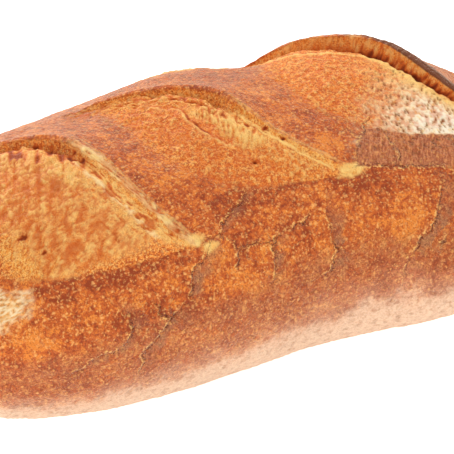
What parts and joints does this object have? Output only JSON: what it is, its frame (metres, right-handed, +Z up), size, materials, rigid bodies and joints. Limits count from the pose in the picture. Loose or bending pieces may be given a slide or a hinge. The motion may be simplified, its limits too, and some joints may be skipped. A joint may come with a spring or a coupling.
{
  "type": "rustic bread loaf",
  "caption": "Oval free-standing wheat loaf with a browned crust and slanting scores that opened into raised ears.",
  "frame": {"origin": "on the resting surface, under the middle of the loaf's box", "axes": "+X along the loaf towards its right end as seen from the front, +Y from the front to the back, +Z up"},
  "size_m": [0.252, 0.132, 0.0821],
  "materials": {
    "crust": "dry baked wheat crust, golden brown, slightly glossy on the skin and matt where it tore"
  },
  "bodies": {
    "root": {"loaf": "crust"}
  },
  "joints": []
}
